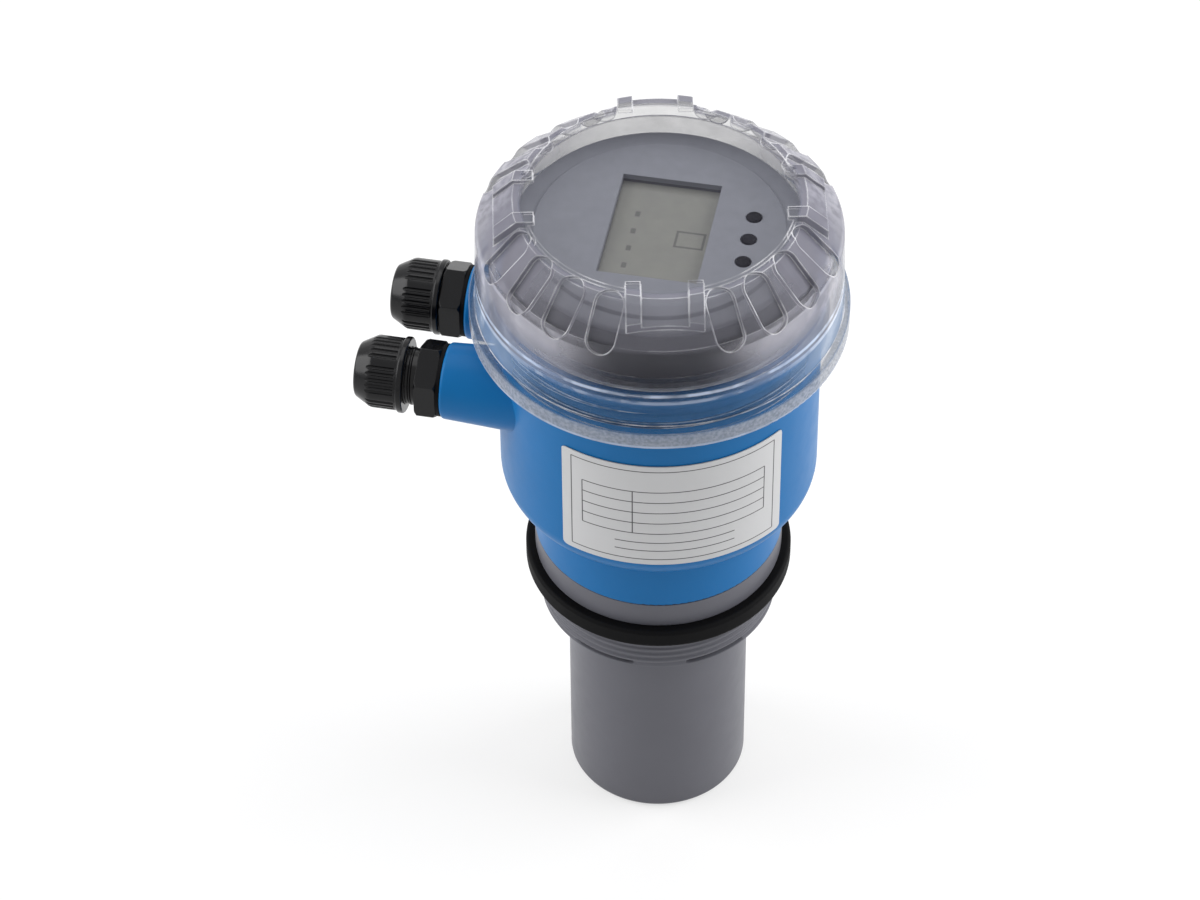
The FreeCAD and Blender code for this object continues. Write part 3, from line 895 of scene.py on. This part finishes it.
@dataclass
class Probe:
    """Grey sensor body with its M60 thread, the gasket and the transducer stack."""

    thread_depth_mm: float = 0.45
    thread_pitch_mm: float = 2.0
    thread_lead_mm: float = 0.6
    thread_h_mm: float = 12.0
    thread_stretch: float = 1.4
    tube_edge_mm: float = 1.6
    tube_r_mm: float = 23.0
    thread_r_mm: float = 30.0
    relief_r_mm: float = 28.5
    collar_edge_mm: float = 0.5
    collar_h_mm: float = 7.6
    spigot_r_mm: float = 27.1
    spigot_edge_mm: float = 0.8
    groove_r_mm: float = 25.1
    groove_w_mm: float = 3.2
    bore_r_mm: float = 19.6
    bore_floor_mm: float = 2.6
    slot_up_mm: float = 0.9
    slot_h_mm: float = 0.8
    slot_depth_mm: float = 1.8
    slot_span_deg: Tuple[float, float] = (12.0, 45.0)
    slot_soft_deg: float = 3.0
    front_deg: float = -78.5
    columns: int = 256
    thread_rows: int = 12

    def _thread_start_mm(self) -> float:
        """Height at which the thread starts, above the lead-in at its lower edge."""
        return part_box("process_gasket")[0].z / MM - self.thread_h_mm + self.thread_lead_mm

    def _slots(self, height: np.ndarray, angle: np.ndarray) -> np.ndarray:
        """Share of the slots' depth.

        It is 1 where the height lies within half a slot's height of its middle and where the angle from the
        nearer of front and back, measured to either side, lies within the slots' span; smooth steps soften
        both, and over the height the step is one half at the slot's edge.

        Args:
            height: heights in millimetres, one to a row.
            angle: angles about Z in radians, one to a column.

        Returns:
            Rows x columns array of shares.
        """
        middle = self._thread_start_mm() + self.slot_up_mm
        inside = 1.0 - np.abs(height - middle) / (self.slot_h_mm / 2)
        aside = np.degrees(np.abs((angle - math.radians(self.front_deg) + np.pi / 2) % np.pi - np.pi / 2))
        (first, last), soft = self.slot_span_deg, self.slot_soft_deg
        ends = smooth_step((aside - first) / soft) * smooth_step((last - aside) / soft)
        return smooth_step(0.5 + inside) * ends

    def _profile(self) -> np.ndarray:
        """Half section from the middle of the radiating face round to the middle of the bore's floor.

        Corners that are rounded are quarter circles; the thread stretch is evenly divided so that its wave
        shows.

        Returns:
            Lines of radius, height, share of the thread's depth and 1 on the thread or 0 off it.
        """
        gasket_low, collar_low = (corner.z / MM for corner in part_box("process_gasket"))
        body_low, body_high = (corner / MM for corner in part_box("sensor_body"))
        collar_high = collar_low + self.collar_h_mm
        thread_low = gasket_low - self.thread_h_mm
        groove_low, groove_high = (
            (collar_high + body_high.z + side * self.groove_w_mm) / 2 for side in (-1, 1))
        start = self._thread_start_mm()
        count = int((gasket_low - start) / self.thread_pitch_mm * self.thread_rows)
        levels = np.linspace(start, gasket_low, count)
        share = smooth_step((levels - start) / self.thread_pitch_mm)
        thread = np.stack((np.full(count, self.thread_r_mm), levels, share, np.ones(count)), axis=-1)
        return np.concatenate((
            plain([(0.0, body_low.z)]),
            plain(rounded(self.tube_r_mm, body_low.z, self.tube_edge_mm, Corner.LOWER)),
            plain([(self.tube_r_mm, thread_low), (self.thread_r_mm - self.thread_lead_mm, thread_low)]),
            thread,
            plain([(self.relief_r_mm, gasket_low), (self.relief_r_mm, collar_low)]),
            plain(rounded(body_high.x, collar_low, self.collar_edge_mm, Corner.LOWER)),
            plain([(body_high.x, collar_high), (self.spigot_r_mm, collar_high),
                   (self.spigot_r_mm, groove_low), (self.groove_r_mm, groove_low),
                   (self.groove_r_mm, groove_high), (self.spigot_r_mm, groove_high)]),
            plain(rounded(self.spigot_r_mm, body_high.z, self.spigot_edge_mm, Corner.UPPER)),
            plain([(self.bore_r_mm, body_high.z), (self.bore_r_mm, self.bore_floor_mm),
                   (0.0, self.bore_floor_mm)]),
        ))

    def build(self) -> bpy.types.Object:
        """Turn the section about Z, with the thread and the slots cut into it.

        The radius at an angle is the section's radius less the deeper of the two cuts. The thread's cut is
        its depth times a smooth step of a cosine wave of the height over the pitch less the turn, stretched
        about one half so that crest and root are flat; so one groove winds up right-handed.

        Returns:
            The threaded body.
        """
        section = self._profile()
        radius, height, share, on_thread = (section[:, k:k + 1] for k in range(section.shape[1]))
        turn = np.linspace(0.0, 1.0, self.columns, endpoint=False)[None, :]
        angle = 2 * np.pi * turn
        phase = height / self.thread_pitch_mm - turn
        wave = smooth_step(0.5 - self.thread_stretch / 2 * np.cos(2 * np.pi * phase))
        slots = on_thread * self._slots(height, angle)
        cut = np.maximum(share * self.thread_depth_mm * wave, self.slot_depth_mm * slots)
        return surface_piece("sensor_body_threaded", about_z(radius - cut, angle, height))

    def dress(self, wardrobe: Wardrobe) -> None:
        """Finish the probe's pieces.

        Args:
            wardrobe: the materials.
        """
        wardrobe.dress_piece(self.build(), Finishes.GREY_PLASTIC, "housing", ["sensor_body"])
        wardrobe.dress_nodes(Finishes.BLACK_RUBBER, "process_gasket", "probe_seal")
        wardrobe.dress_nodes(Finishes.EPOXY, "matching_layer")
        wardrobe.dress_nodes(Finishes.CERAMIC, "piezo_disc")
        wardrobe.dress_nodes(Finishes.CORK, "backing_pad")
        wardrobe.dress_nodes(Finishes.LEAD_GREY, "transducer_lead")


@dataclass
class DrumHousing:
    """Blue housing with the cap's thread on its neck, the label and the main board inside."""

    neck_r_mm: float = 38.8
    neck_h_mm: float = 10.8
    thread_height_mm: float = 1.4
    thread_pitch_mm: float = 4.0
    thread_margin_mm: float = 1.4

    def thread_start_mm(self) -> float:
        """Height at which the neck's thread starts."""
        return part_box("housing")[1].z / MM - self.neck_h_mm + self.thread_margin_mm

    def build(self) -> bpy.types.Object:
        """Ridge that the cap screws on, from just above the drum to just below the neck's top.

        Returns:
            The thread on the neck.
        """
        start = self.thread_start_mm()
        ridge = Thread(self.neck_r_mm, self.thread_height_mm, self.thread_pitch_mm, start,
                       start + self.neck_h_mm - 2 * self.thread_margin_mm)
        return surface_piece("neck_thread", ridge.points())

    def dress(self, wardrobe: Wardrobe) -> None:
        """Finish the housing's pieces.

        Args:
            wardrobe: the materials.
        """
        wardrobe.dress_nodes(Finishes.BLUE_PLASTIC, "housing")
        wardrobe.dress_piece(self.build(), Finishes.BLUE_PLASTIC, "housing")
        wardrobe.dress_nodes(Finishes.LABEL, "nameplate")
        wardrobe.dress_nodes(Finishes.BOARD_GREEN, "main_board")
        wardrobe.dress_nodes(Finishes.TERMINAL_GREEN, "terminal_block")
        wardrobe.dress_nodes(Finishes.STEEL, "board_screws", "terminal_screws")
        wardrobe.dress_nodes(Finishes.LEAD_GREY, "display_ribbon")


@dataclass
class ScrewCap:
    """Clear cap with the thread in its bore, and the seal ring under its lip."""

    housing: DrumHousing
    bore_r_mm: float = 40.9
    thread_height_mm: float = 0.9
    thread_length_mm: float = 7.2
    thread_root_w: float = 0.45
    thread_crest_w: float = 0.2

    def build(self) -> bpy.types.Object:
        """Ridge in the cap's bore, half a pitch below the neck's, so that each lies in the other's groove.

        Returns:
            The thread in the cap.
        """
        pitch = self.housing.thread_pitch_mm
        start = self.housing.thread_start_mm() - pitch / 2
        ridge = Thread(self.bore_r_mm, -self.thread_height_mm, pitch, start, start + self.thread_length_mm,
                       root_w=self.thread_root_w, crest_w=self.thread_crest_w)
        return surface_piece("cap_thread", ridge.points())

    def dress(self, wardrobe: Wardrobe) -> None:
        """Finish the cap's pieces.

        Args:
            wardrobe: the materials.
        """
        wardrobe.dress_nodes(Finishes.CLEAR_PLASTIC, "clear_cap")
        wardrobe.dress_piece(self.build(), Finishes.CLEAR_PLASTIC, "clear_cap")
        wardrobe.dress_nodes(Finishes.PALE_SILICONE, "cap_seal")


@dataclass
class DisplayUnit:
    """Grey display cup with its panel, buttons, board and screws."""

    buttons: int = 3

    def dress(self, wardrobe: Wardrobe) -> None:
        """Finish the display's pieces.

        Args:
            wardrobe: the materials.
        """
        wardrobe.dress_nodes(Finishes.DISPLAY_GREY, "display_case")
        wardrobe.dress_nodes(Finishes.LCD, "lcd_panel")
        wardrobe.dress_nodes(Finishes.BLACK_RUBBER, *(f"button_{k + 1}" for k in range(self.buttons)))
        wardrobe.dress_nodes(Finishes.BOARD_GREEN, "display_board")
        wardrobe.dress_nodes(Finishes.STEEL, "display_screws")


class Entry(Enum):
    """The two cable entries."""

    FRONT = "front"
    REAR = "rear"


@dataclass
class CableGland:
    """One black cable gland: washer, hexagon body, rubber insert and dome nut."""

    entry: Entry
    thread_r_mm: float = 6.9
    thread_height_mm: float = 0.24
    thread_pitch_mm: float = 1.41
    thread_start_mm: float = 0.5
    thread_length_mm: float = 5.6
    thread_steps: int = 64
    hex_end_mm: float = 6.3

    def build(self) -> bpy.types.Object:
        """Thread between hexagon and nut, built along Z and laid along -X: (x, y, z) becomes (-z, y, x).

        Returns:
            The thread on the gland's body.
        """
        washer_low, washer_high = (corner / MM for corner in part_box(f"gland_{self.entry.value}_washer"))
        middle = (washer_low + washer_high) / 2
        start = self.hex_end_mm + self.thread_start_mm
        ridge = Thread(self.thread_r_mm, self.thread_height_mm, self.thread_pitch_mm, start,
                       start + self.thread_length_mm, steps_per_turn=self.thread_steps)
        x, y, z = np.moveaxis(ridge.points(), -1, 0)
        laid = np.stack((washer_high.x - z, middle.y + y, middle.z + x), axis=-1)
        return surface_piece(f"gland_{self.entry.value}_thread", laid)

    def dress(self, wardrobe: Wardrobe) -> None:
        """Finish the gland's pieces.

        Args:
            wardrobe: the materials.
        """
        stem = f"gland_{self.entry.value}"
        wardrobe.dress_nodes(Finishes.BLACK_NYLON, f"{stem}_body", f"{stem}_nut")
        wardrobe.dress_nodes(Finishes.BLACK_RUBBER, f"{stem}_washer", f"{stem}_insert")
        wardrobe.dress_piece(self.build(), Finishes.BLACK_NYLON, "housing")


def direction(azimuth_deg: float, elevation_deg: float) -> Vector:
    """Unit vector to a viewer; azimuth 0 looks along +Y and elevation is above the horizon."""
    a, e = math.radians(azimuth_deg), math.radians(elevation_deg)
    return Vector((math.sin(a) * math.cos(e), -math.cos(a) * math.cos(e), math.sin(e)))


@dataclass(frozen=True)
class SoftBox:
    """A square studio lamp that looks at the object, so far round from the camera."""

    name: str
    aside_deg: float
    elevation_deg: float
    distance_m: float
    side_m: float
    power_w: float

    def build(self, target: Vector, camera_deg: float) -> None:
        """Place the lamp.

        Args:
            target: the point that it faces, in metres.
            camera_deg: the camera's azimuth.
        """
        lamp = bpy.data.lights.new(self.name, "AREA")
        lamp.shape = "SQUARE"
        lamp.size = self.side_m
        lamp.energy = self.power_w
        holder = bpy.data.objects.new(self.name, lamp)
        back = direction(camera_deg + self.aside_deg, self.elevation_deg)
        holder.location = target + back * self.distance_m
        holder.rotation_euler = (-back).to_track_quat("-Z", "Y").to_euler()
        bpy.context.scene.collection.objects.link(holder)


@dataclass
class Studio:
    """Pale floor, white surroundings, soft lamps on both sides and behind, and the camera."""

    azimuth_deg: float = 11.5
    elevation_deg: float = 45.82
    roll_deg: float = -0.556
    distance_mm: float = 1092.5
    target_mm: Tuple[float, float, float] = (-14.36, -2.92, 111.5)
    lens_mm: float = 131.44
    sensor_mm: float = 36.0
    clip_start_m: float = 0.05
    floor_half_m: float = 6.0
    floor_colour: Colour = (0.93, 0.93, 0.93)
    floor_glow: float = 0.6
    world_strength: float = 0.35
    lamps: Tuple[SoftBox, ...] = (
        SoftBox("left_box", aside_deg=-95, elevation_deg=30, distance_m=1.1, side_m=0.9, power_w=10.0),
        SoftBox("right_box", aside_deg=95, elevation_deg=30, distance_m=1.1, side_m=0.9, power_w=11.0),
        SoftBox("top_box", aside_deg=180, elevation_deg=70, distance_m=1.3, side_m=1.0, power_w=6.0),
    )

    def _seen(self, tree: ShaderTree) -> Wire:
        """Mask of what is looked at.

        Args:
            tree: the tree of the floor or of the surroundings.

        Returns:
            1 for rays that come from the camera, off gloss or through glass, else 0.
        """
        path = tree.node("ShaderNodeLightPath")
        camera, glossy, clear = (Wire(tree, path.outputs[name])
                                 for name in ("Is Camera Ray", "Is Glossy Ray", "Is Transmission Ray"))
        return camera.larger(glossy).larger(clear)

    def build_floor(self) -> None:
        """Pale floor that glows white to the camera and still takes the object's shadow."""
        half = self.floor_half_m
        corners = [(-half, -half, 0), (half, -half, 0), (half, half, 0), (-half, half, 0)]
        mesh = bpy.data.meshes.new("floor")
        mesh.from_pydata(corners, [], [(0, 1, 2, 3)])
        floor = bpy.data.objects.new("floor", mesh)
        bpy.context.scene.collection.objects.link(floor)
        made = bpy.data.materials.new("pale_floor")
        made.use_nodes = True
        tree = ShaderTree(made.node_tree)
        paint = tree.wire("ShaderNodeBsdfDiffuse", {}, {"Color": rgba(self.floor_colour)})
        glow = tree.wire("ShaderNodeEmission", {}, {"Color": rgba(WHITE), "Strength": 1.0})
        share = self._seen(tree) * self.floor_glow
        mixed = tree.wire("ShaderNodeMixShader", {}, {0: share, 1: paint, 2: glow})
        tree.node("ShaderNodeOutputMaterial", {}, {"Surface": mixed})
        mesh.materials.append(made)

    def build_world(self) -> None:
        """White surroundings: plain light for the object, full white where they are seen."""
        world = bpy.data.worlds.new("white_surroundings")
        world.use_nodes = True
        bpy.context.scene.world = world
        tree = ShaderTree(world.node_tree)
        strength = self._seen(tree) * (1.0 - self.world_strength) + self.world_strength
        sky = tree.wire("ShaderNodeBackground", {}, {"Color": rgba(WHITE), "Strength": strength})
        tree.node("ShaderNodeOutputWorld", {}, {"Surface": sky})

    def build_camera(self) -> None:
        """Camera at the reference view: it looks along the view direction, rolled a little about it."""
        back = direction(self.azimuth_deg, self.elevation_deg)
        a, roll = math.radians(self.azimuth_deg), math.radians(self.roll_deg)
        right = Vector((math.cos(a), math.sin(a), 0.0))
        up = back.cross(right)
        across = right * math.cos(roll) + up * math.sin(roll)
        upright = up * math.cos(roll) - right * math.sin(roll)
        lens = bpy.data.cameras.new("camera")
        lens.sensor_width = self.sensor_mm
        lens.lens = self.lens_mm
        lens.clip_start = self.clip_start_m
        holder = bpy.data.objects.new("camera", lens)
        turn = Matrix((across, upright, back)).transposed().to_4x4()
        place = (Vector(self.target_mm) + back * self.distance_mm) * MM
        holder.matrix_world = Matrix.Translation(place) @ turn
        bpy.context.scene.collection.objects.link(holder)
        bpy.context.scene.camera = holder

    def build(self) -> None:
        """Set the whole stage."""
        bpy.context.scene.view_settings.view_transform = "Standard"
        self.build_floor()
        self.build_world()
        for lamp in self.lamps:
            lamp.build(Vector(self.target_mm) * MM, self.azimuth_deg)
        self.build_camera()


def main() -> None:
    """Build and dress each sub-assembly, then set the stage."""
    logging.basicConfig(level=logging.INFO, format="%(name)s: %(message)s")
    wardrobe = Wardrobe()
    housing = DrumHousing()
    parts = (Probe(), housing, ScrewCap(housing), DisplayUnit(), *(CableGland(entry) for entry in Entry))
    for part in parts:
        LOG.info("dressing %s", type(part).__name__)
        part.dress(wardrobe)
    Studio().build()


if __name__ == "__main__":
    main()
